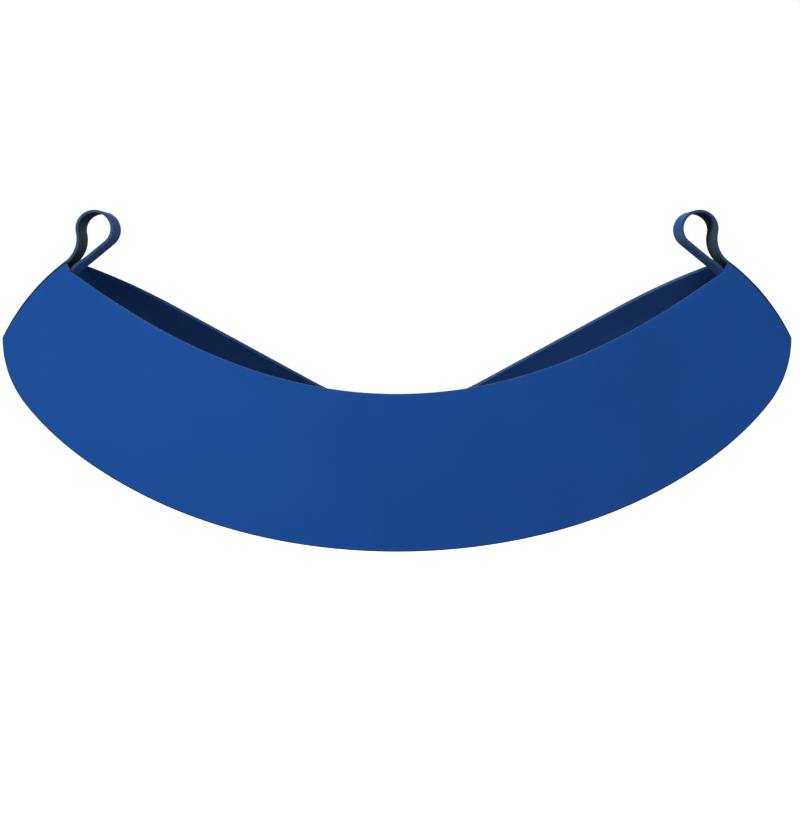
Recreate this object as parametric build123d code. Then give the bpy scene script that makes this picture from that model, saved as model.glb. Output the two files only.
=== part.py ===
import os
from math import asin
from math import atan2
from math import cos
from math import degrees
from math import radians
from math import sin
from math import sqrt
from math import tan

from build123d import *

# the sheet: a blue jersey face, a blue foam core and a charcoal jersey lining, bonded together
face_t = 0.3
core_t = 1.4
lining_t = 0.3
sheet_t = face_t + core_t + lining_t
layers = {
    "Face": (0.0, face_t),
    "Core": (face_t, face_t + core_t),
    "Lining": (face_t + core_t, sheet_t),
}

# the front panel, a crescent: flat at y = 0 by the side seams, with a shallow forward bulge between them
end_low_x = 292.0
end_low_z = -56.5
end_run = 46.2
end_sagitta = 4.4
corner_x = end_low_x - end_run
cut_run = 4.0
cut_drop = 7.0
cut_x = corner_x - cut_run
top_low_z = -97.0
hem_overrun = 15.0
hem_half_x = end_low_x + hem_overrun
hem_half_z = 193.0
hem_centre_z = -19.5
side_drop = 48.5
hem_from_z = end_low_z - side_drop
lower_corner_r = 4.0
bulge = 8.0
flat_in = 15.0
ease_r = 600.0

# the strap of each side: a tail inside the side seam, a teardrop loop above it
strap_w = 22.0
strap_gap = 0.15
strap_y0 = sheet_t + strap_gap
strap_y1 = strap_y0 + strap_w
peek = 0.9
head_in = 21.0
head_x = corner_x - head_in
head_z = 24.9
head_r = 13.0
limb_angle = -39.5
limb_low_z = -6.0
hinge_gap = 2.2
tail_gap = 0.1

# the back panel, one sheet that leans back, folded over at the side seams
lean = 64.0
mouth_lean = 25.0
fold_out = 1.2
fold_x = corner_x + fold_out
fold_z = 0.6
fold_r = 18.0
shoulder_in = 44.6
shoulder_drop = 18.0
shoulder_r = 570.0
valley_z = -134.9
valley_r = 180.0
wing_in = 2.0
wing_low_x = end_low_x - wing_in
wing_low_z = -58.0
back_gap = 0.6
wing_clear_lean = 7.0
back_hem_overrun = 2.0
back_hem_half_x = end_low_x + back_hem_overrun
back_hem_depth = 150.0

# the tape that covers each side seam on the inside
tape_w = 9.0
tape_t = 0.5
tape_gap = 0.05
tape_end_turn = 0.5
tape_top_turn = 1.0

reach = 700.0
os.makedirs("parts", exist_ok=True)


def save(shape, name):
    shape.label = name
    export_step(shape, f"parts/{name}.step")


def at(p, normal, off):
    return (p[0] + normal[0] * off, p[1] + normal[1] * off)


def line_piece(p, q):
    # points and left normals of a straight piece of a path
    length = sqrt((q[0] - p[0]) ** 2 + (q[1] - p[1]) ** 2)
    normal = (-(q[1] - p[1]) / length, (q[0] - p[0]) / length)
    return [(p, normal), (q, normal)]


def arc_piece(centre, radius, start, end):
    # the same for an arc between two angles in degrees
    side = -1.0 if end > start else 1.0
    out = []
    for k in range(3):
        a = radians(start + (end - start) * k / 2)
        radial = (cos(a), sin(a))
        out.append((at(centre, radial, radius), (radial[0] * side, radial[1] * side)))
    return out


def edge_of(piece, off):
    points = [at(p, normal, off) for p, normal in piece]
    if len(points) == 2:
        return Line(*points)
    return ThreePointArc(*points)


def band(path, off_a, off_b):
    # the flat region between two offsets of a path
    side_a = [edge_of(piece, off_a) for piece in path]
    side_b = [edge_of(piece, off_b) for piece in path]
    caps = [Line(side_a[0] @ 0, side_b[0] @ 0), Line(side_a[-1] @ 1, side_b[-1] @ 1)]
    return make_face(side_a + side_b + caps)


def rounded(points, radii):
    # a path of straight pieces with an arc at each inner corner
    path = []
    last = points[0]
    for k, r in enumerate(radii):
        a, b, c = points[k], points[k + 1], points[k + 2]
        turn_a = atan2(b[1] - a[1], b[0] - a[0])
        turn_c = atan2(c[1] - b[1], c[0] - b[0])
        turn = turn_c - turn_a
        back = r * tan(abs(turn) / 2)
        p = (b[0] - back * cos(turn_a), b[1] - back * sin(turn_a))
        side = 1.0 if turn > 0 else -1.0
        centre = (p[0] - side * r * sin(turn_a), p[1] + side * r * cos(turn_a))
        start = degrees(turn_a) - side * 90
        path.append(line_piece(last, p))
        path.append(arc_piece(centre, r, start, start + degrees(turn)))
        last = (b[0] + back * cos(turn_c), b[1] + back * sin(turn_c))
    path.append(line_piece(last, points[-1]))
    return path


def strap_solid(region):
    # a region of the XZ plane as wide as the strap
    return extrude(Plane.XZ.offset(-strap_y1) * region, strap_w)


def both_sides(shape, name):
    save(shape, "right" + name)
    save(mirror(shape, Plane.YZ), "left" + name)


# front panel: the crescent's outline, extruded, meets the bulged sheet of each layer
cut_z = -cut_drop
hem_from_x = hem_half_x * sqrt(1 - ((hem_from_z - hem_centre_z) / hem_half_z) ** 2)
chord = sqrt((end_low_x - corner_x) ** 2 + end_low_z**2)
end_r = (chord**2 / 4 + end_sagitta**2) / (2 * end_sagitta)
chord_angle = degrees(atan2(end_low_z, end_low_x - corner_x))
end_half = degrees(asin(chord / 2 / end_r))
end_start = chord_angle + end_half + 90
end_finish = chord_angle - end_half + 90
end_centre = (
    corner_x - end_r * cos(radians(end_start)),
    -end_r * sin(radians(end_start)),
)
hem_start = degrees(
    atan2((hem_from_z - hem_centre_z) / hem_half_z, hem_from_x / hem_half_x)
)
hem_run_x = -hem_half_x * sin(radians(hem_start))
hem_run_z = hem_half_z * cos(radians(hem_start))

top_edge = Bezier(
    (-cut_x, cut_z),
    (0, 2 * top_low_z - cut_z),
    (cut_x, cut_z),
)
hem_edge = EllipticalCenterArc(
    (0, hem_centre_z),
    hem_half_x,
    hem_half_z,
    start_angle=180 - hem_start,
    arc_size=180 + 2 * hem_start,
)
outline = [top_edge, hem_edge]
for side in (-1, 1):
    end_points = [
        p for p, normal in arc_piece(end_centre, end_r, end_start, end_finish)
    ]
    outline.append(Line((side * cut_x, cut_z), (side * corner_x, 0)))
    outline.append(ThreePointArc(*[(side * p[0], p[1]) for p in end_points]))
    outline.append(
        TangentArc(
            (side * hem_from_x, hem_from_z),
            (side * end_low_x, end_low_z),
            tangent=(side * hem_run_x, hem_run_z),
        )
    )
crescent = make_face(outline)
lower_corners = [
    v for v in crescent.vertices() if abs(v.Y - end_low_z) < 0.01 and abs(v.X) > cut_x
]
crescent = fillet(lower_corners, lower_corner_r)
crescent_block = extrude(Plane.XZ * crescent, reach, both=True)

flat_from_x = corner_x - flat_in
bulge_turn = 2 * degrees(atan2(bulge, flat_from_x))
bulge_r = flat_from_x / sin(radians(bulge_turn)) - ease_r
front_path = [
    line_piece((-hem_half_x, 0), (-flat_from_x, 0)),
    arc_piece((-flat_from_x, -ease_r), ease_r, 90, 90 - bulge_turn),
    arc_piece((0, bulge_r - bulge), bulge_r, 270 - bulge_turn, 270 + bulge_turn),
    arc_piece((flat_from_x, -ease_r), ease_r, 90 + bulge_turn, 90),
    line_piece((flat_from_x, 0), (hem_half_x, 0)),
]
for layer, (inner, outer) in layers.items():
    sheet = extrude(band(front_path, inner, outer), reach, both=True)
    save(sheet & crescent_block, "front" + layer)

# straps: a path through the middle of the sheet, blue on its right-hand side
path_layers = {
    layer: (a - sheet_t / 2, b - sheet_t / 2) for layer, (a, b) in layers.items()
}
tail_r = end_r + peek - sheet_t / 2
outer_tail = [arc_piece(end_centre, tail_r, end_finish, end_start)]
tail_top, tail_normal = outer_tail[-1][-1]
away = (-tail_normal[0], -tail_normal[1])
to_head = (tail_top[0] - head_x, tail_top[1] - head_z)
s_curve_r = (head_r**2 - to_head[0] ** 2 - to_head[1] ** 2) / (
    2 * (to_head[0] * away[0] + to_head[1] * away[1]) - 2 * head_r
)
s_centre = at(tail_top, away, s_curve_r)
head_start = degrees(atan2(s_centre[1] - head_z, s_centre[0] - head_x))
s_start = degrees(atan2(-away[1], -away[0])) + 360
gap_turn = degrees(hinge_gap / s_curve_r)
head_end = limb_angle + 270
limb_dir = (cos(radians(limb_angle)), sin(radians(limb_angle)))
limb_top = (
    head_x + head_r * cos(radians(head_end)),
    head_z + head_r * sin(radians(head_end)),
)
limb_len = (limb_low_z - limb_top[1]) / limb_dir[1]
limb_low = at(limb_top, limb_dir, limb_len)
limb_end = at(limb_low, limb_dir, -hinge_gap)
loop_path = [
    arc_piece(s_centre, s_curve_r, s_start - gap_turn, head_start + 180),
    arc_piece((head_x, head_z), head_r, head_start, head_end),
    line_piece(limb_top, limb_end),
]
# the inner tail runs on straight until it lies against the outer one
meet_r = tail_r - sheet_t - tail_gap
to_low = (limb_low[0] - end_centre[0], limb_low[1] - end_centre[1])
along = to_low[0] * limb_dir[0] + to_low[1] * limb_dir[1]
off_2 = to_low[0] ** 2 + to_low[1] ** 2 - meet_r**2
inner_tail_len = -along + sqrt(along**2 - off_2)
inner_low = at(limb_low, limb_dir, inner_tail_len)
inner_tail = [line_piece(limb_low, inner_low)]
for layer, (a, b) in path_layers.items():
    both_sides(strap_solid(band(outer_tail, a, b)), "OuterTail" + layer)
    both_sides(strap_solid(band(inner_tail, a, b)), "InnerTail" + layer)
    both_sides(strap_solid(band(loop_path, a, b)), "Loop" + layer)

# tape: one leg on the outer tail, one on the back of the front panel
tape_end = degrees(atan2(inner_low[1] - end_centre[1], inner_low[0] - end_centre[0]))
tape_path = [
    arc_piece(end_centre, tail_r, end_finish + tape_end_turn, tape_end - tape_top_turn)
]
on_tail = sheet_t / 2 + tape_gap
on_front = sheet_t + tape_gap
tail_leg = extrude(Plane.XZ * band(tape_path, on_tail, on_tail + tape_t), reach, both=True)
front_leg = extrude(Plane.XZ * band(tape_path, on_tail, on_tail + tape_w), reach, both=True)
tail_leg &= extrude(band(front_path, on_front, on_front + tape_w), reach, both=True)
front_leg &= extrude(band(front_path, on_front, on_front + tape_t), reach, both=True)
both_sides(tail_leg + front_leg, "SeamTape")

# back panel: one profile drawn out backward and down, cut to the mouth and the hem
back_y = strap_y1 + back_gap
lean_cos = cos(radians(lean))
lean_sin = sin(radians(lean))
mouth_tan = tan(radians(mouth_lean))
back_plane = Plane(
    origin=(0, back_y, 0), x_dir=(1, 0, 0), z_dir=(0, -lean_sin, lean_cos)
)


def profile_height(z):
    # height in the profile's plane of a point at z on the mouth's cut
    return (fold_z - z) * mouth_tan * lean_cos + z * lean_sin


shoulder_x = fold_x - shoulder_in
shoulder_z = fold_z - shoulder_drop
profile = rounded(
    [
        (-wing_low_x, wing_low_z * lean_sin),
        (-fold_x, profile_height(fold_z)),
        (-shoulder_x, profile_height(shoulder_z)),
        (0, profile_height(valley_z)),
        (shoulder_x, profile_height(shoulder_z)),
        (fold_x, profile_height(fold_z)),
        (wing_low_x, wing_low_z * lean_sin),
    ],
    [fold_r, shoulder_r, valley_r, shoulder_r, fold_r],
)


def behind(angle, x0, x1):
    # everything behind a plane that leans back from the fold's height
    t = tan(radians(angle))
    side = Polyline(
        (back_y + (fold_z - reach) * t, reach),
        (back_y + (fold_z + reach) * t, -reach),
        (2 * reach, -reach),
        (2 * reach, reach),
        close=True,
    )
    return extrude(Plane.YZ.offset(x0) * make_face(side), x1 - x0)


kept = behind(mouth_lean, -fold_x, fold_x)
kept += behind(wing_clear_lean, -reach, -fold_x)
kept += behind(wing_clear_lean, fold_x, reach)
hem_block = extrude(
    Plane.XY * Pos(0, back_y) * Ellipse(back_hem_half_x, back_hem_depth),
    reach,
    both=True,
)
for layer, (a, b) in path_layers.items():
    sheet = extrude(back_plane * band(profile, a, b), reach / 2, both=True)
    save(sheet & kept & hem_block, "back" + layer)
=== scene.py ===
from math import asin, atan2, cos, degrees, hypot, pi, radians, sin, sqrt, tan

import bpy
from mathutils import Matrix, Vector


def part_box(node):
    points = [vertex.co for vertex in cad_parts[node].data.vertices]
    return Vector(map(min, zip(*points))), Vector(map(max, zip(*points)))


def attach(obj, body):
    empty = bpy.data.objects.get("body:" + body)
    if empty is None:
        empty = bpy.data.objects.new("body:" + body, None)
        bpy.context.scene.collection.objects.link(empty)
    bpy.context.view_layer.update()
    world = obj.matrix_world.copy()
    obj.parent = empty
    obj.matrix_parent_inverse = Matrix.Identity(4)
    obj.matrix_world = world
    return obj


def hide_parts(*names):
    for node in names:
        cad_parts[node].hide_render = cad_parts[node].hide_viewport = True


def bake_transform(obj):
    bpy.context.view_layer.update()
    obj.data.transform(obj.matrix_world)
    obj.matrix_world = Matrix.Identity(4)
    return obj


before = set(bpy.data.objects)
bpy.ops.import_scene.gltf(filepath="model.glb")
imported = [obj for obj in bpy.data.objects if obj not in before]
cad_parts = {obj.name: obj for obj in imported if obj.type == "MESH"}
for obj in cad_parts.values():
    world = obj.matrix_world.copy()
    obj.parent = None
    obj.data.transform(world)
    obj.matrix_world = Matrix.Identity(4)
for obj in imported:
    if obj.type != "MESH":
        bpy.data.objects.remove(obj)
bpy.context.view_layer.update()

mm = 0.001

# one laminated sheet: where each layer starts and ends, measured in from the blue side
sheet = {
    "thick": 2.0 * mm,
    "layers": {
        "Face": (0.0, 0.3 * mm),
        "Core": (0.3 * mm, 1.7 * mm),
        "Lining": (1.7 * mm, 2.0 * mm),
    },
    "slots": {"Face": "blueJersey", "Core": "blueFoam", "Lining": "charcoalJersey"},
    "rimWidth": 5 * mm,
    "smoothAngle": 35,
}


def clearSelection():
    if bpy.context.object and bpy.context.object.mode != "OBJECT":
        bpy.ops.object.mode_set(mode="OBJECT")
    bpy.ops.object.select_all(action="DESELECT")


def makeActive(piece):
    clearSelection()
    piece.select_set(True)
    bpy.context.view_layer.objects.active = piece


def applyModifier(piece, kind, **settings):
    makeActive(piece)
    modifier = piece.modifiers.new(kind.title(), kind)
    for key, value in settings.items():
        setattr(modifier, key, value)
    bpy.ops.object.modifier_apply(modifier=modifier.name)


def smoothEdges(piece):
    makeActive(piece)
    bpy.ops.object.shade_smooth_by_angle(angle=radians(sheet["smoothAngle"]))


def drop(piece):
    bpy.data.objects.remove(piece, do_unlink=True)


def ease(t):
    t = min(1.0, max(0.0, t))
    return t * t * (3 - 2 * t)


def arcRun(centre, radius, start, end, steps):
    run = []
    for k in range(steps + 1):
        a = radians(start + (end - start) * k / steps)
        run.append((centre[0] + radius * cos(a), centre[1] + radius * sin(a)))
    return run


def tangentRun(a, heading, b, steps):
    # the arc that leaves a along heading, turns left and ends at b
    side = Vector((-heading[1], heading[0])).normalized()
    across = Vector(b) - Vector(a)
    radius = across.length_squared / (2 * across.dot(side))
    centre = Vector(a) + side * radius
    start = degrees(atan2(a[1] - centre.y, a[0] - centre.x))
    end = degrees(atan2(b[1] - centre.y, b[0] - centre.x))
    return arcRun(centre, radius, start, end, steps)


def roundedRun(points, radii, steps):
    # straight runs with an arc at each inner corner
    path = [points[0]]
    for k, r in enumerate(radii):
        a, b, c = points[k], points[k + 1], points[k + 2]
        turnA = atan2(b[1] - a[1], b[0] - a[0])
        turnC = atan2(c[1] - b[1], c[0] - b[0])
        turn = turnC - turnA
        back = r * tan(abs(turn) / 2)
        side = 1 if turn > 0 else -1
        p = (b[0] - back * cos(turnA), b[1] - back * sin(turnA))
        centre = (p[0] - side * r * sin(turnA), p[1] + side * r * cos(turnA))
        start = degrees(turnA) - side * 90
        path += arcRun(centre, r, start, start + degrees(turn), steps)
    path.append(points[-1])
    return path


def joinRuns(*runs):
    path = []
    for run in runs:
        for p in run:
            if not path or (Vector(p) - Vector(path[-1])).length > 1e-7:
                path.append(p)
    return path


def mirrored(path):
    return [(-x, z) for x, z in reversed(path)]


def evenPoints(path, count, keep=()):
    # count + 1 points at even spacing, the nearest ones moved onto the corners to keep
    lengths = [0.0]
    for a, b in zip(path, path[1:]):
        lengths.append(lengths[-1] + (Vector(b) - Vector(a)).length)
    stops = [lengths[-1] * k / count for k in range(count + 1)]
    for corner in keep:
        nearest = min(range(len(path)), key=lambda k: (Vector(path[k]) - Vector(corner)).length)
        k = min(range(len(stops)), key=lambda j: abs(stops[j] - lengths[nearest]))
        stops[k] = lengths[nearest]
    out = []
    j = 0
    for stop in stops:
        while j < len(lengths) - 2 and lengths[j + 1] < stop:
            j += 1
        span = lengths[j + 1] - lengths[j]
        t = 0 if span < 1e-9 else (stop - lengths[j]) / span
        a, b = path[j], path[j + 1]
        out.append((a[0] + (b[0] - a[0]) * t, a[1] + (b[1] - a[1]) * t))
    return out, stops


def clothGrid(name, cols, rows, place, lengthAt, widthAt):
    # a flat grid laid into place: column i, row k, with its coordinates on the cutting table as UVs
    clearSelection()
    bpy.ops.mesh.primitive_grid_add(x_subdivisions=cols, y_subdivisions=rows, size=1)
    piece = bpy.context.object
    piece.name = piece.data.name = name
    mesh = piece.data
    table = [(0.0, 0.0)] * len(mesh.vertices)
    rim = mesh.attributes.new("rim", "FLOAT", "POINT")
    for v in mesh.vertices:
        i = round((v.co.x + 0.5) * cols)
        k = round((v.co.y + 0.5) * rows)
        v.co = place(i, k)
        table[v.index] = (lengthAt(i, k), widthAt(i, k))
        along = min(abs(lengthAt(i, k) - lengthAt(0, k)), abs(lengthAt(cols, k) - lengthAt(i, k)))
        across = min(abs(widthAt(i, k) - widthAt(i, 0)), abs(widthAt(i, rows) - widthAt(i, k)))
        rim.data[v.index].value = max(0.0, 1.0 - min(along, across) / sheet["rimWidth"])
    uv = mesh.uv_layers[0]
    for loop in mesh.loops:
        uv.data[loop.index].uv = table[loop.vertex_index]
    mesh.update()
    return piece


def layerOf(grid, name, layer, blueOut):
    # one layer of the laminate: the grid moved in from the blue side, then given its thickness
    start, end = sheet["layers"][layer]
    makeActive(grid)
    bpy.ops.object.duplicate()
    piece = bpy.context.object
    piece.name = piece.data.name = name
    normals = [Vector(v.normal) for v in piece.data.vertices]
    for v in piece.data.vertices:
        v.co = v.co + normals[v.index] * (blueOut - start)
    applyModifier(piece, "SOLIDIFY", thickness=end - start, offset=-1.0, use_even_offset=True)
    smoothEdges(piece)
    return piece


# the crescent, whose slanted ends lie against the straps
frontCut = {
    "cornerX": 245.8 * mm, "cutRun": 4 * mm, "cutDrop": 7 * mm, "topLow": -97 * mm,
    "endLow": (292 * mm, -56.5 * mm), "endSagitta": 4.4 * mm,
    "hemHalf": (307 * mm, 193 * mm), "hemCentre": -19.5 * mm, "hemFrom": -105 * mm,
    "bulge": 8 * mm, "flatIn": 15 * mm, "easeR": 600 * mm,
    "cols": 220, "rows": 44, "endCols": 14, "curveSteps": 60, "sideSteps": 24,
    # the two strengths after the step counts are painted shade, for the thin dark rim along the
    # slanted ends and along the hem
    "endShade": 1.0, "hemShade": 0.9, "flat": (0.586, 0.213), "area": 0.0683,
}


def frontDepth(x):
    # how far the sheet stands forward: flat by the seams, eased into the shallow bulge
    c = frontCut
    flatFrom = c["cornerX"] - c["flatIn"]
    turn = 2 * atan2(c["bulge"], flatFrom)
    bulgeR = flatFrom / sin(turn) - c["easeR"]
    x = abs(x)
    if x >= flatFrom:
        return 0.0
    if x >= bulgeR * sin(turn):
        return sqrt(c["easeR"] ** 2 - (flatFrom - x) ** 2) - c["easeR"]
    return bulgeR - c["bulge"] - sqrt(bulgeR**2 - x**2)


def endArc():
    # centre, radius and angles of the slanted end, for the right-hand side
    lowX, lowZ = frontCut["endLow"]
    run = lowX - frontCut["cornerX"]
    chord = hypot(run, lowZ)
    sagitta = frontCut["endSagitta"]
    radius = (chord**2 / 4 + sagitta**2) / (2 * sagitta)
    heading = degrees(atan2(lowZ, run))
    half = degrees(asin(chord / 2 / radius))
    start, finish = heading + half + 90, heading - half + 90
    centre = (frontCut["cornerX"] - radius * cos(radians(start)), -radius * sin(radians(start)))
    return centre, radius, start, finish


def frontOutline():
    c = frontCut
    cut = (c["cornerX"] - c["cutRun"], -c["cutDrop"])
    steps = c["curveSteps"]
    topHalf = []
    for k in range(steps + 1):
        x = cut[0] * k / steps
        topHalf.append((x, c["topLow"] + (cut[1] - c["topLow"]) * (x / cut[0]) ** 2))
    topHalf.append((c["cornerX"], 0.0))
    top = joinRuns(mirrored(topHalf), topHalf)
    a, b = c["hemHalf"]
    rise = (c["hemFrom"] - c["hemCentre"]) / b
    fromX = a * sqrt(1 - rise**2)
    startAngle = degrees(atan2(rise, fromX / a))
    hem = []
    for k in range(steps + 1):
        angle = radians(-90 + (startAngle + 90) * k / steps)
        hem.append((a * cos(angle), c["hemCentre"] + b * sin(angle)))
    heading = (-a * sin(radians(startAngle)), b * cos(radians(startAngle)))
    side = tangentRun((fromX, c["hemFrom"]), heading, c["endLow"], c["sideSteps"])
    hemHalf = joinRuns(hem, side)
    bottom = joinRuns(mirrored(hemHalf), hemHalf)
    return top, bottom, cut


def buildFront():
    c = frontCut
    top, bottom, cut = frontOutline()
    cols, rows = c["cols"], c["rows"]
    topPoints, topStops = evenPoints(top, cols, keep=[cut, (-cut[0], cut[1])])
    lowPoints, lowStops = evenPoints(bottom, cols)

    def place(i, k):
        t = 1 - k / rows  # row 0 is the hem
        a, b = Vector(topPoints[i]), Vector(lowPoints[i])
        side = 1 if i > cols / 2 else -1
        fade = max(0.0, 1 - min(i, cols - i) / c["endCols"]) ** 2
        chord = b - a
        outward = Vector((-chord.y, chord.x)).normalized() * side
        p = a.lerp(b, t) + outward * (c["endSagitta"] * 4 * t * (1 - t) * fade)
        return Vector((p.x, frontDepth(p.x), p.y))

    def lengthAt(i, k):
        t = k / rows
        return (topStops[i] - topStops[-1] / 2) * t + (lowStops[i] - lowStops[-1] / 2) * (1 - t)

    def widthAt(i, k):
        return (Vector(topPoints[i]) - Vector(lowPoints[i])).length * (k / rows)

    grid = clothGrid("frontGrid", cols, rows, place, lengthAt, widthAt)
    # painted shade: the slanted ends and the hem get a thin dark rim, standing in for the shade
    # along the sheet's edges
    paintedEdgeShade = grid.data.attributes.new("paintedEdgeShade", "FLOAT", "POINT")
    for n in range((cols + 1) * (rows + 1)):
        i, k = n % (cols + 1), n // (cols + 1)
        atHem = c["hemShade"] if k == 0 else 0.0
        paintedEdgeShade.data[n].value = c["endShade"] if i in (0, cols) else atHem
    if grid.data.polygons[0].normal.y > 0:  # blue faces forward
        grid.data.flip_normals()
    pieces = {}
    for layer in sheet["layers"]:
        piece = layerOf(grid, "frontPanel" + layer, layer, 0.0)
        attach(piece, "front")
        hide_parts("front" + layer)
        pieces[layer] = piece
    drop(grid)
    print("front panel laid out")
    return pieces


# a tail inside each side seam and the teardrop loop above it
strapCut = {
    "near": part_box("rightLoopFace")[0][1],
    "width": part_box("rightLoopFace")[1][1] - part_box("rightLoopFace")[0][1],
    "peek": 0.9 * mm, "headIn": 21 * mm, "headZ": 24.9 * mm, "headR": 13 * mm,
    "limbAngle": -39.5, "limbLow": -6 * mm, "tailGap": 0.1 * mm, "bendReach": 7 * mm,
    "pinch": 0.8 * mm, "pinchFrom": -7 * mm, "pinchTo": 3 * mm, "pinchFade": 4.5 * mm,
    "rows": 10, "cols": 190, "tailSteps": 24, "curveSteps": 16, "crownSteps": 60,
}


def strapPath():
    # the middle of the strap's thickness, for the right-hand side, from the hem up and round
    c = strapCut
    centre, endR, start, finish = endArc()
    tailR = endR + c["peek"] - sheet["thick"] / 2
    outer = arcRun(centre, tailR, finish, start, c["tailSteps"])
    topPoint = Vector(outer[-1])
    away = (topPoint - Vector(centre)).normalized()
    head = Vector((frontCut["cornerX"] - c["headIn"], c["headZ"]))
    toHead = topPoint - head
    curveR = (c["headR"] ** 2 - toHead.length_squared) / (2 * toHead.dot(away) - 2 * c["headR"])
    curveCentre = topPoint + away * curveR
    headStart = degrees(atan2(curveCentre.y - head.y, curveCentre.x - head.x))
    curveStart = degrees(atan2(-away.y, -away.x)) + 360
    curve = arcRun(curveCentre, curveR, curveStart, headStart + 180, c["curveSteps"])
    crown = arcRun(head, c["headR"], headStart, c["limbAngle"] + 270, c["crownSteps"])
    heading = Vector((cos(radians(c["limbAngle"])), sin(radians(c["limbAngle"]))))
    limbTop = Vector(crown[-1])
    limbLow = limbTop + heading * ((c["limbLow"] - limbTop.y) / heading.y)
    meetR = tailR - sheet["thick"] - c["tailGap"]
    toLow = limbLow - Vector(centre)
    along = toLow.dot(heading)
    innerLow = limbLow + heading * (sqrt(along**2 - toLow.length_squared + meetR**2) - along)
    neck = (topPoint + limbLow) / 2
    path = joinRuns(outer, curve, crown, [tuple(limbTop), tuple(innerLow)])
    return path, neck, heading, tailR, innerLow


def buildStraps():
    c = strapCut
    path, neck, heading, tailR, innerLow = strapPath()
    cols, rows = c["cols"], c["rows"]
    points, stops = evenPoints(path, cols)
    pieces = {}
    for side, sign in (("left", -1), ("right", 1)):

        def place(i, k):
            x, z = points[i]
            # the front edge of the inner limb is pinched toward the outer one above the seam
            below, above = z - c["pinchFrom"], c["pinchTo"] - z
            rise = ease(below / c["pinchFade"]) * ease(above / c["pinchFade"])
            lean = c["pinch"] * rise * (1 - k / rows) if i > cols / 2 else 0.0
            x, z = x - heading.y * lean, z + heading.x * lean
            return Vector((sign * x, c["near"] + c["width"] * k / rows, z))

        grid = clothGrid(
            side + "StrapGrid", cols, rows, place,
            lambda i, k: stops[i], lambda i, k: c["width"] * k / rows,
        )
        top = max(grid.data.vertices, key=lambda v: v.co.z)
        if top.normal.z < 0:  # blue is on the outside of the loop
            grid.data.flip_normals()
        for layer in sheet["layers"]:
            piece = layerOf(grid, side + "Strap" + layer, layer, sheet["thick"] / 2)
            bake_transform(piece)
            names = (side + part + layer for part in ("OuterTail", "InnerTail", "Loop"))
            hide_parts(*names)
            pieces[side + layer] = piece
        drop(grid)
    print("straps laid out")
    return pieces


# one sheet that leans back and folds over at the side seams
backCut = {
    "lean": 64.0, "mouthLean": 25.0, "foldOut": 1.2 * mm, "foldZ": 0.6 * mm, "foldR": 18 * mm,
    "shoulderIn": 44.6 * mm, "shoulderDrop": 18 * mm, "shoulderR": 570 * mm,
    "valley": -134.9 * mm, "valleyR": 180 * mm, "wingLow": (290 * mm, -58 * mm),
    "start": 24.75 * mm, "seamGap": 0.05 * mm, "hem": (294 * mm, 150 * mm),
    "turnFrom": 4 * mm, "turnWidth": 12 * mm, "joinDepth": 45 * mm, "bendTo": 85 * mm,
    "cols": 260, "rows": 44, "foldSteps": 24, "flat": (0.65, 0.16), "area": 0.0668,
}


def buildBack():
    c = backCut
    leanCos, leanSin = cos(radians(c["lean"])), sin(radians(c["lean"]))
    mouth = tan(radians(c["mouthLean"]))
    foldX, foldZ = frontCut["cornerX"] + c["foldOut"], c["foldZ"]
    seam = strapCut["near"] + strapCut["width"] + c["seamGap"]
    centre, endR, _, _ = endArc()
    tailR = endR + strapCut["peek"] - sheet["thick"] / 2

    def height(z):
        return (foldZ - z) * mouth * leanCos + z * leanSin

    half = [
        (foldX - c["shoulderIn"], height(foldZ - c["shoulderDrop"])),
        (foldX, height(foldZ)),
        (c["wingLow"][0], c["wingLow"][1] * leanSin),
    ]
    radii = [c["foldR"], c["shoulderR"], c["valleyR"], c["shoulderR"], c["foldR"]]
    valley = (0, height(c["valley"]))
    profile = roundedRun([*mirrored(half), valley, *half], radii, c["foldSteps"])
    cols, rows = c["cols"], c["rows"]
    points, stops = evenPoints(profile, cols)

    def edges(i):
        # distances down the slope at which column i starts and ends
        x, q = points[i]
        mouthAt = ((foldZ - q * leanSin) * mouth - q * leanCos) / (leanSin - leanCos * mouth)
        seamAt = (seam - c["start"] - q * leanCos) / leanSin
        inside = ease((foldX + c["turnFrom"] - abs(x)) / c["turnWidth"])
        first = seamAt + (mouthAt - seamAt) * inside
        reach = c["hem"][1] * sqrt(max(0.0, 1 - (x / c["hem"][0]) ** 2))
        return first, (reach - q * leanCos) / leanSin

    ends = [edges(i) for i in range(cols + 1)]

    def tailShift(i):
        # how far column i moves sideways at the seam to lie in line with the strap tail
        x, q = points[i]
        z = q * leanSin - ends[i][0] * leanCos
        tailX = centre[0] + sqrt(max(0.0, tailR**2 - (z - centre[1]) ** 2))
        return (tailX - abs(x)) * ease((abs(x) - foldX) / c["turnWidth"]) * (1 if x > 0 else -1)

    shifts = [tailShift(i) for i in range(cols + 1)]

    def place(i, k):
        x, q = points[i]
        first, last = ends[i]
        run = (last - first) * (1 - k / rows)
        x += shifts[i] * (1 - ease(run / c["joinDepth"]))
        down = first + run
        return Vector((x, c["start"] + q * leanCos + down * leanSin, q * leanSin - down * leanCos))

    def widthAt(i, k):
        first, last = ends[i]
        return -(first + (last - first) * (1 - k / rows))

    grid = clothGrid("backGrid", cols, rows, place, lambda i, k: stops[i], widthAt)
    if grid.data.polygons[len(grid.data.polygons) // 2].normal.z > 0:  # blue faces down and forward
        grid.data.flip_normals()
    pieces = {}
    for layer in sheet["layers"]:
        piece = layerOf(grid, "backPanel" + layer, layer, sheet["thick"] / 2)
        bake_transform(piece)
        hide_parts("back" + layer)
        pieces[layer] = piece
    drop(grid)
    print("back panel laid out")
    return pieces


# an L along the inside of each side seam
tapeCut = {
    "width": 9 * mm, "thick": 0.5 * mm, "gap": 0.05 * mm, "endTurn": 0.5, "topTurn": 1.0,
    "cols": 30, "rows": 16,
}


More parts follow.
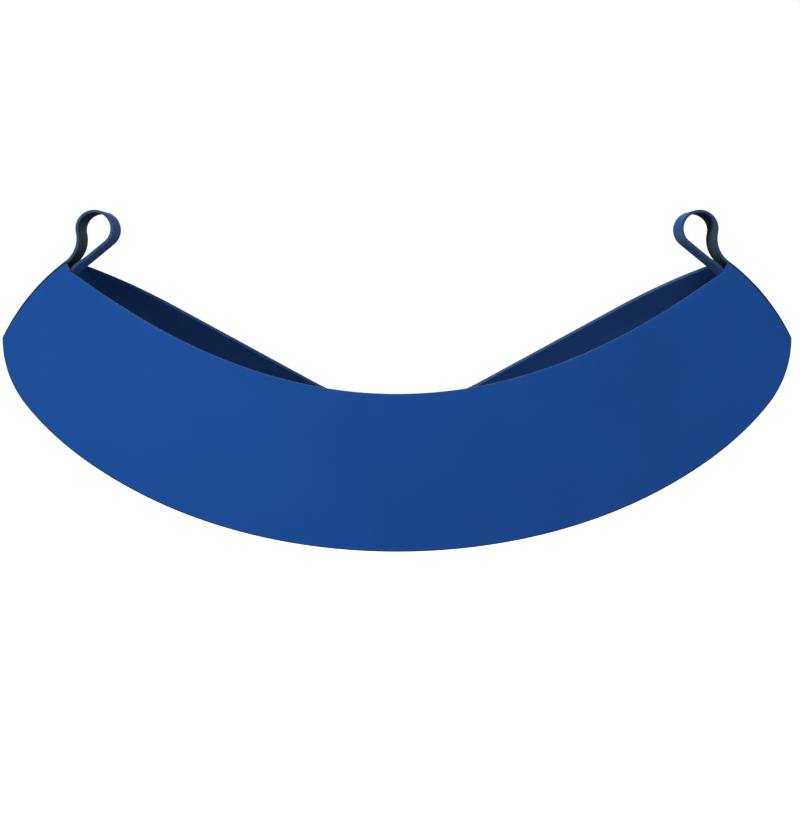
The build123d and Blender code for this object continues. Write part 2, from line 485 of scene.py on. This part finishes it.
def buildTapes():
    c = tapeCut
    centre, _, _, finish = endArc()
    *_, tailR, innerLow = strapPath()
    toInner = innerLow - Vector(centre)
    low = finish + c["endTurn"]
    high = degrees(atan2(toInner.y, toInner.x)) - c["topTurn"]
    lift = sheet["thick"] / 2 + c["gap"]
    pieces = {}
    for side, sign in (("left", -1), ("right", 1)):

        def place(i, k):
            angle = radians(low + (high - low) * i / c["cols"])
            t = k / c["rows"] * 2 - 1  # below 0 lies on the front panel, above 0 on the tail
            r = tailR - lift - max(0.0, -t) * c["width"]
            x, z = centre[0] + r * cos(angle), centre[1] + r * sin(angle)
            y = frontDepth(x) + sheet["thick"] + c["gap"] + max(0.0, t) * c["width"]
            return Vector((sign * x, y, z))

        piece = clothGrid(
            side + "SeamTapeStrip", c["cols"], c["rows"], place,
            lambda i, k: tailR * radians(high - low) * i / c["cols"],
            lambda i, k: 2 * c["width"] * k / c["rows"],
        )
        probe = min(piece.data.polygons, key=lambda f: f.center.y)
        if probe.normal.y < 0:
            piece.data.flip_normals()
        applyModifier(piece, "SOLIDIFY", thickness=c["thick"], offset=1.0, use_even_offset=True)
        smoothEdges(piece)
        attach(piece, "front")
        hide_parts(side + "SeamTape")
        pieces[side] = piece
    print("seam tapes laid out")
    return pieces


def newFinish(name):
    material = bpy.data.materials.new(name)
    material.use_nodes = True
    return material, material.node_tree, material.node_tree.nodes["Principled BSDF"]


def addNode(tree, kind, **settings):
    node = tree.nodes.new(kind)
    for key, value in settings.items():
        setattr(node, key, value)
    return node


def feed(tree, socket, value):
    if isinstance(value, bpy.types.NodeSocket):
        tree.links.new(value, socket)
    else:
        socket.default_value = value


def setFixed(shader, **values):
    # values that are the same all over, set on the shader itself
    for key, value in values.items():
        shader.inputs[key.replace("_", " ")].default_value = value


def mathOf(tree, operation, a, b=0.0, c=0.0, clamp=False):
    node = addNode(tree, "ShaderNodeMath", operation=operation, use_clamp=clamp)
    for socket, value in zip(node.inputs, (a, b, c)):
        feed(tree, socket, value)
    return node.outputs[0]


def noiseOf(tree, vector, scale, detail=3.0, roughness=0.5):
    node = addNode(tree, "ShaderNodeTexNoise")
    feed(tree, node.inputs["Vector"], vector)
    node.inputs["Scale"].default_value = scale
    node.inputs["Detail"].default_value = detail
    node.inputs["Roughness"].default_value = roughness
    return node.outputs["Fac"]


def rangeOf(tree, factor, low, high):
    # low and high are (value in, value out)
    node = addNode(tree, "ShaderNodeMapRange")
    feed(tree, node.inputs["Value"], factor)
    node.inputs["From Min"].default_value, node.inputs["To Min"].default_value = low
    node.inputs["From Max"].default_value, node.inputs["To Max"].default_value = high
    return node.outputs["Result"]


def stretchOf(tree, vector, scale):
    node = addNode(tree, "ShaderNodeMapping")
    feed(tree, node.inputs["Vector"], vector)
    node.inputs["Scale"].default_value = scale
    return node.outputs["Vector"]


def mixOf(tree, factor, a, b):
    node = addNode(tree, "ShaderNodeMix", data_type="RGBA")
    for key, value in (("Factor_Float", factor), ("A_Color", a), ("B_Color", b)):
        feed(tree, next(s for s in node.inputs if s.identifier == key), value)
    return next(s for s in node.outputs if s.identifier == "Result_Color")


def bumpOf(tree, height, distance, strength, normal=None):
    node = addNode(tree, "ShaderNodeBump")
    feed(tree, node.inputs["Height"], height)
    node.inputs["Distance"].default_value = distance
    node.inputs["Strength"].default_value = strength
    if normal is not None:
        feed(tree, node.inputs["Normal"], normal)
    return node.outputs["Normal"]


def knitHeight(tree, uv, wale, course):
    # rows of small V stitches: wale is the pitch across, course the pitch along
    parts = addNode(tree, "ShaderNodeSeparateXYZ")
    feed(tree, parts.inputs[0], uv)
    across = mathOf(tree, "FRACT", mathOf(tree, "DIVIDE", parts.outputs[0], wale))
    fromMiddle = mathOf(tree, "ABSOLUTE", mathOf(tree, "SUBTRACT", across, 0.5))
    along = mathOf(tree, "DIVIDE", parts.outputs[1], course)
    slant = mathOf(tree, "MULTIPLY_ADD", fromMiddle, 1.4, along)
    wave = mathOf(tree, "SINE", mathOf(tree, "MULTIPLY", slant, 2 * pi))
    stitch = mathOf(tree, "MULTIPLY_ADD", wave, 0.5, 0.5)
    gutter = mathOf(tree, "POWER", mathOf(tree, "MULTIPLY", fromMiddle, 2.0), 3.0)
    return mathOf(tree, "MULTIPLY", stitch, mathOf(tree, "SUBTRACT", 1.0, gutter))


panelJersey = {
    "blue": (0.0118, 0.0715, 0.290, 1), "deep": (0.0098, 0.0590, 0.245, 1),
    # the darkest colour on the next line is painted shade, for the thin rim along the front panel's
    # ends and hem
    "worn": (0.016, 0.090, 0.33, 1), "paintedEdgeShade": (0.0105, 0.0095, 0.036, 1),
    "wale": 0.62 * mm, "course": 0.5 * mm,
    "stitchDepth": 0.045 * mm, "cloudDepth": 0.9 * mm,
    "cloudScale": 9.0, "mottleScale": 420.0, "fluffScale": 900.0,
    # the two bounds on the next line set how far the painted edge shade reaches in from the edge
    "edgeShadeFrom": 0.62, "edgeShadeFull": 0.78,
    "nap": 0.04, "napTint": (0.25, 0.5, 1.0, 1), "shine": 0.02,
}
strapJersey = {  # the strap's blue is darker and greyer than the panel's, and its sheen is stronger and paler
    **panelJersey, "blue": (0.016, 0.0660, 0.225, 1), "deep": (0.013, 0.0540, 0.190, 1),
    "nap": 0.06, "napTint": (0.7, 0.85, 1.0, 1),
}


def blueJerseyFinish(name, c):
    material, tree, shader = newFinish(name)
    uv = addNode(tree, "ShaderNodeUVMap").outputs["UV"]
    knit = knitHeight(tree, uv, c["wale"], c["course"])
    cloud = noiseOf(tree, uv, c["cloudScale"], 2.0)
    mottle = noiseOf(tree, uv, c["mottleScale"], 4.0, 0.65)
    wide = rangeOf(tree, cloud, (0.3, 0.0), (0.7, 0.6))
    fine = rangeOf(tree, mottle, (0.3, 0.0), (0.7, 0.4))
    body = mixOf(tree, mathOf(tree, "ADD", wide, fine), c["deep"], c["blue"])
    body = mixOf(tree, rangeOf(tree, knit, (0.0, 0.35), (0.5, 0.0)), body, c["deep"])
    rim = addNode(tree, "ShaderNodeAttribute", attribute_name="rim").outputs["Fac"]
    fluff = rangeOf(tree, noiseOf(tree, uv, c["fluffScale"]), (0.35, 0.0), (0.65, 0.5))
    fuzz = mathOf(tree, "MULTIPLY", mathOf(tree, "POWER", rim, 3.0), fluff)
    body = mixOf(tree, fuzz, body, c["worn"])
    # painted shade: a thin dark rim along the front panel's slanted ends and hem, standing in for
    # the shade at the sheet's edges
    paintedEdgeShade = addNode(tree, "ShaderNodeAttribute", attribute_name="paintedEdgeShade").outputs["Fac"]
    edge = rangeOf(tree, paintedEdgeShade, (c["edgeShadeFrom"], 0.0), (c["edgeShadeFull"], 1.0))
    feed(tree, shader.inputs["Base Color"], mixOf(tree, edge, body, c["paintedEdgeShade"]))
    feed(tree, shader.inputs["Roughness"], rangeOf(tree, mottle, (0.2, 0.66), (0.8, 0.78)))
    soft = bumpOf(tree, cloud, c["cloudDepth"], 0.35)
    feed(tree, shader.inputs["Normal"], bumpOf(tree, knit, c["stitchDepth"], 0.8, soft))
    setFixed(shader, Sheen_Weight=c["nap"], Sheen_Roughness=0.45, Sheen_Tint=c["napTint"])
    setFixed(shader, Specular_IOR_Level=c["shine"])
    return material


foam = {
    "blue": (0.014, 0.060, 0.145, 1), "cell": (0.006, 0.031, 0.08, 1),
    "cells": 3800.0, "cellDepth": 0.06 * mm, "driftScale": 60.0,
}


def blueFoamFinish():
    c = foam
    material, tree, shader = newFinish("blueFoam")
    place = addNode(tree, "ShaderNodeTexCoord").outputs["Object"]
    cells = addNode(tree, "ShaderNodeTexVoronoi")
    feed(tree, cells.inputs["Vector"], place)
    cells.inputs["Scale"].default_value = c["cells"]
    pores = rangeOf(tree, cells.outputs["Distance"], (0.1, 0.55), (0.4, 0.0))
    drift = rangeOf(tree, noiseOf(tree, place, c["driftScale"]), (0.3, 0.0), (0.7, 0.4))
    tone = mathOf(tree, "ADD", pores, drift, clamp=True)
    feed(tree, shader.inputs["Base Color"], mixOf(tree, tone, c["blue"], c["cell"]))
    cut = bumpOf(tree, cells.outputs["Distance"], c["cellDepth"], 0.7)
    feed(tree, shader.inputs["Normal"], cut)
    setFixed(shader, Roughness=0.65, Specular_IOR_Level=0.2)
    return material


lining = {
    "charcoal": (0.026, 0.045, 0.059, 1), "streak": (0.048, 0.072, 0.089, 1),
    "pit": (0.012, 0.022, 0.030, 1), "wale": 0.8 * mm, "course": 0.62 * mm,
    "stitchDepth": 0.06 * mm, "heatherScale": (110.0, 1300.0, 1.0), "mottleScale": 500.0,
}


def charcoalFinish():
    c = lining
    material, tree, shader = newFinish("charcoalJersey")
    uv = addNode(tree, "ShaderNodeUVMap").outputs["UV"]
    knit = knitHeight(tree, uv, c["wale"], c["course"])
    streaks = noiseOf(tree, stretchOf(tree, uv, c["heatherScale"]), 1.0, 3.0, 0.6)
    mottle = noiseOf(tree, uv, c["mottleScale"], 4.0, 0.65)
    heather = rangeOf(tree, streaks, (0.4, 0.0), (0.68, 0.6))
    body = mixOf(tree, heather, c["charcoal"], c["streak"])
    body = mixOf(tree, rangeOf(tree, mottle, (0.45, 0.0), (0.75, 0.5)), body, c["pit"])
    body = mixOf(tree, rangeOf(tree, knit, (0.0, 0.45), (0.5, 0.0)), body, c["pit"])
    feed(tree, shader.inputs["Base Color"], body)
    feed(tree, shader.inputs["Roughness"], rangeOf(tree, mottle, (0.2, 0.72), (0.8, 0.86)))
    feed(tree, shader.inputs["Normal"], bumpOf(tree, knit, c["stitchDepth"], 0.8))
    setFixed(shader, Sheen_Weight=0.03, Sheen_Roughness=0.5, Sheen_Tint=(0.4, 0.75, 1.0, 1))
    setFixed(shader, Specular_IOR_Level=0.05)
    return material


tape = {
    "black": (0.012, 0.014, 0.019, 1), "rib": (0.03, 0.034, 0.042, 1),
    "ribPitch": 0.7 * mm, "ribDepth": 0.05 * mm, "fleckScale": 700.0,
}


def seamTapeFinish():
    c = tape
    material, tree, shader = newFinish("seamTape")
    uv = addNode(tree, "ShaderNodeUVMap").outputs["UV"]
    parts = addNode(tree, "ShaderNodeSeparateXYZ")
    feed(tree, parts.inputs[0], uv)
    ribs = mathOf(tree, "SINE", mathOf(tree, "MULTIPLY", parts.outputs[1], 2 * pi / c["ribPitch"]))
    fleck = rangeOf(tree, noiseOf(tree, uv, c["fleckScale"]), (0.35, 0.0), (0.7, 1.0))
    feed(tree, shader.inputs["Base Color"], mixOf(tree, fleck, c["black"], c["rib"]))
    feed(tree, shader.inputs["Normal"], bumpOf(tree, ribs, c["ribDepth"], 0.6))
    setFixed(shader, Roughness=0.5)
    return material


def dress(piece, material):
    piece.data.materials.clear()
    piece.data.materials.append(material)


studio = {
    "cameraY": -0.76, "cameraZ": -0.02, "lens": 46.2, "shift": (0.00375, -0.16125),
    "floorZ": -0.75, "floor": (0.88, 0.885, 0.89, 1), "floorGlow": 0.8,
    "ambient": 0.25, "backdrop": 1.0,
    "lights": {  # place, aim, size, power
        "keyLight": ((-1.4, -1.2, 1.4), (-0.05, 0, -0.08), 1.1, 86),
        "sideFill": ((1.1, -1.4, 0.1), (0.1, 0, -0.06), 0.9, 2.5),
        "underLight": ((0.7, 0.25, -0.62), (0.15, 0.06, -0.05), 0.4, 1.6),
        "backLight": ((0.7, 1.6, 1.0), (0, 0.05, -0.05), 1.2, 24),
    },
}


def addLight(name, place, aim, size, power):
    clearSelection()
    bpy.ops.object.light_add(type="AREA", location=place)
    light = bpy.context.object
    light.name = name
    light.data.shape = "DISK"
    light.data.size = size
    light.data.energy = power
    light.rotation_euler = (Vector(aim) - Vector(place)).to_track_quat("-Z", "Y").to_euler()


def buildFloor():
    clearSelection()
    bpy.ops.mesh.primitive_plane_add(size=24, location=(0, 0, studio["floorZ"]))
    floor = bpy.context.object
    floor.name = "floor"
    paper, tree, shader = newFinish("floorPaper")
    setFixed(shader, Base_Color=studio["floor"], Roughness=0.9)
    setFixed(shader, Emission_Color=(1, 1, 1, 1), Emission_Strength=studio["floorGlow"])
    dress(floor, paper)
    floor.visible_diffuse = False  # the paper is seen, but throws no light up at the skirt
    floor.visible_glossy = False


def buildWorld():
    # a white backdrop to look at, a dimmer one to light by
    world = bpy.data.worlds.new("studioWorld")
    world.use_nodes = True
    tree = world.node_tree
    seen = tree.nodes["Background"]
    seen.inputs["Color"].default_value = (1, 1, 1, 1)
    seen.inputs["Strength"].default_value = studio["backdrop"]
    soft = addNode(tree, "ShaderNodeBackground")
    soft.inputs["Color"].default_value = (1, 1, 1, 1)
    soft.inputs["Strength"].default_value = studio["ambient"]
    choose = addNode(tree, "ShaderNodeMixShader")
    feed(tree, choose.inputs[0], addNode(tree, "ShaderNodeLightPath").outputs["Is Camera Ray"])
    feed(tree, choose.inputs[1], soft.outputs[0])
    feed(tree, choose.inputs[2], seen.outputs[0])
    feed(tree, tree.nodes["World Output"].inputs["Surface"], choose.outputs[0])
    bpy.context.scene.world = world


def addCamera():
    data = bpy.data.cameras.new("camera")
    camera = bpy.data.objects.new("camera", data)
    bpy.context.scene.collection.objects.link(camera)
    camera.location = (0, studio["cameraY"], studio["cameraZ"])
    camera.rotation_euler = (pi / 2, 0, 0)
    data.sensor_fit = "HORIZONTAL"
    data.sensor_width = 36
    data.lens = studio["lens"]
    data.shift_x, data.shift_y = studio["shift"]
    data.clip_start = 0.01
    bpy.context.scene.camera = camera


def buildStudio():
    buildFloor()
    buildWorld()
    for name, (place, aim, size, power) in studio["lights"].items():
        addLight(name, place, aim, size, power)
    addCamera()
    bpy.context.scene.view_settings.view_transform = "Standard"
    print("studio ready")


layerFinishes = {"Core": blueFoamFinish(), "Lining": charcoalFinish()}
strapFinishes = {**layerFinishes, "Face": blueJerseyFinish("blueStrapJersey", strapJersey)}
panelFinishes = {**layerFinishes, "Face": blueJerseyFinish("blueJersey", panelJersey)}
sheetGroups = (
    (buildStraps(), strapFinishes), (buildFront(), panelFinishes), (buildBack(), panelFinishes),
)
for group, finishes in sheetGroups:
    for name, piece in group.items():
        dress(piece, next(finishes[layer] for layer in finishes if name.endswith(layer)))
tapeFinish = seamTapeFinish()
for piece in buildTapes().values():
    dress(piece, tapeFinish)
buildStudio()
clearSelection()
